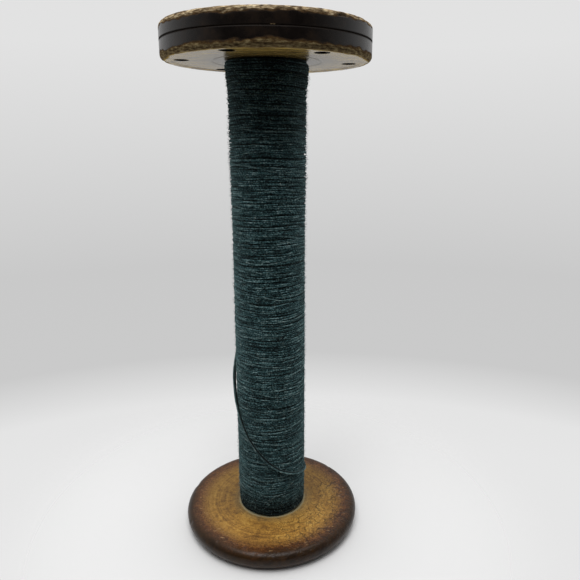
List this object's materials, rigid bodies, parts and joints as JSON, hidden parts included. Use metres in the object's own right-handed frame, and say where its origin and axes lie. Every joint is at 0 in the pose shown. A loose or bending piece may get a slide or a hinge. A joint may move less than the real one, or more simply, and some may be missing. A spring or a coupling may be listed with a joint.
{
  "type": "spool of thread",
  "caption": "Tall wooden textile bobbin with round heads, a through spindle bore and a full winding of dark green yarn.",
  "frame": {"origin": "centre of the lower head's outer face, on the spool's axis, at the surface the spool stands on", "axes": "+Z along the spool's axis from the lower head to the upper head; -Y is the front; the screws are spaced from 4.9 degrees past +X"},
  "size_m": [0.1152, 0.1152, 0.3075],
  "materials": {
    "barrel_wood": "turned hardwood, unvarnished",
    "lower_head_wood": "aged varnish, dark at the rim",
    "upper_head_wood": "dark lacquered rim, worn edges, varnished inner face",
    "bush_steel": "dull pressed steel",
    "screw_steel": "blackened",
    "wool_yarn": "dyed wool singles"
  },
  "bodies": {
    "root": {"barrel": "barrel_wood", "lower_spindle_bush": "bush_steel", "upper_spindle_bush": "bush_steel", "lower_head": "lower_head_wood", "upper_head_inner_ply": "upper_head_wood", "upper_head_outer_ply": "upper_head_wood", "head_screw_1": "screw_steel", "head_screw_2": "screw_steel", "head_screw_3": "screw_steel", "head_screw_4": "screw_steel", "head_screw_5": "screw_steel", "head_screw_6": "screw_steel", "yarn_winding": "wool_yarn", "loose_strand": "wool_yarn"}
  },
  "joints": []
}
